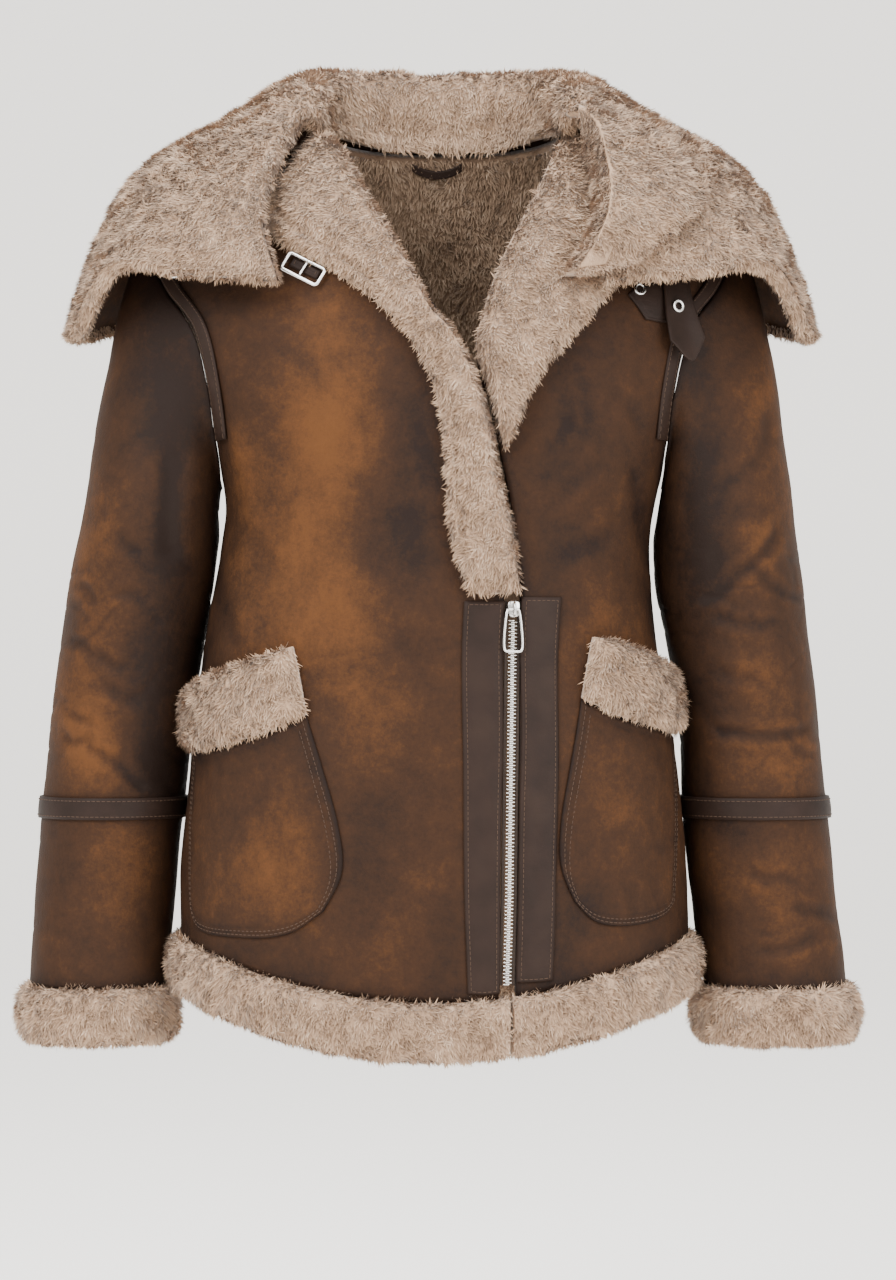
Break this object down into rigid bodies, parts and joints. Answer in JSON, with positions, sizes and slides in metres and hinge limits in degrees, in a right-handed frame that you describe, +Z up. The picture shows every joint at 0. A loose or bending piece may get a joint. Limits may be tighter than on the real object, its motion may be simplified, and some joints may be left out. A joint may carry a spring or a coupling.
{
  "type": "shearling coat",
  "caption": "Short hide-side-out shearling coat, worn form: wide fur collar and lapels, off-centre zip, patch pockets, buckled collar straps, fur cuffs and hem.",
  "frame": {"origin": "the middle of the neck at shoulder height, where the wearer's shoulders carry the coat", "axes": "+Z up, the front faces -Y, +X is the wearer's left"},
  "size_m": [0.633, 0.2719, 0.7352],
  "materials": {
    "hide": "matt distressed brown hide with tan patches and dark mottling",
    "fur": "dense clipped taupe shearling pile",
    "strip_leather": "smooth dark brown leather with a soft sheen",
    "tape": "dark woven zip tape",
    "nickel": "polished nickel plate"
  },
  "bodies": {
    "root": {"front_right": "hide", "front_left": "hide", "back": "hide", "sleeve_upper_right": "hide", "sleeve_lower_right": "hide", "sleeve_band_right": "strip_leather", "cuff_fur_right": "fur", "sleeve_upper_left": "hide", "sleeve_lower_left": "hide", "sleeve_band_left": "strip_leather", "cuff_fur_left": "fur", "hem_fur_right": "fur", "hem_fur_left": "fur", "hem_fur_back": "fur", "lapel_right": "fur", "collar_right": "fur", "collar_left": "fur", "lapel_left": "fur", "placket_right": "strip_leather", "placket_left": "strip_leather", "zip_tape_right": "tape", "zip_tape_left": "tape", "zip_teeth": "nickel", "pocket_right": "hide", "pocket_left": "hide", "pocket_fur_right": "fur", "pocket_fur_left": "fur", "armhole_strip_right": "strip_leather", "armhole_strip_left": "strip_leather", "buckle_outer": "nickel", "buckle_strap_outer": "strip_leather", "buckle_inner": "nickel", "buckle_strap_inner": "strip_leather", "eyelet_strap_lower": "strip_leather", "eyelet_strap_upper": "strip_leather", "eyelet_lower": "nickel", "eyelet_upper": "nickel", "zip_slider": "nickel", "hanger_loop": "strip_leather"},
    "zip_pull": {"zip_pull": "nickel"},
    "prong_outer": {"buckle_prong_outer": "nickel"},
    "prong_inner": {"buckle_prong_inner": "nickel"}
  },
  "joints": [
    {"name": "zip_pull_swing", "type": "hinge", "parent": "root", "child": "zip_pull", "pos_m": [0.052, -0.1196, -0.327], "axis": [-0.9818, -0.1894, 0.0146], "range_deg": [0, 105]},
    {"name": "prong_outer_swing", "type": "hinge", "parent": "root", "child": "prong_outer", "pos_m": [-0.18543, -0.04398, -0.06481], "axis": [-0.8464, 0.526, -0.0835], "range_deg": [0, 50]},
    {"name": "prong_inner_swing", "type": "hinge", "parent": "root", "child": "prong_inner", "pos_m": [-0.09694, -0.0839, -0.07259], "axis": [-0.8398, 0.3105, 0.4452], "range_deg": [0, 50]}
  ]
}
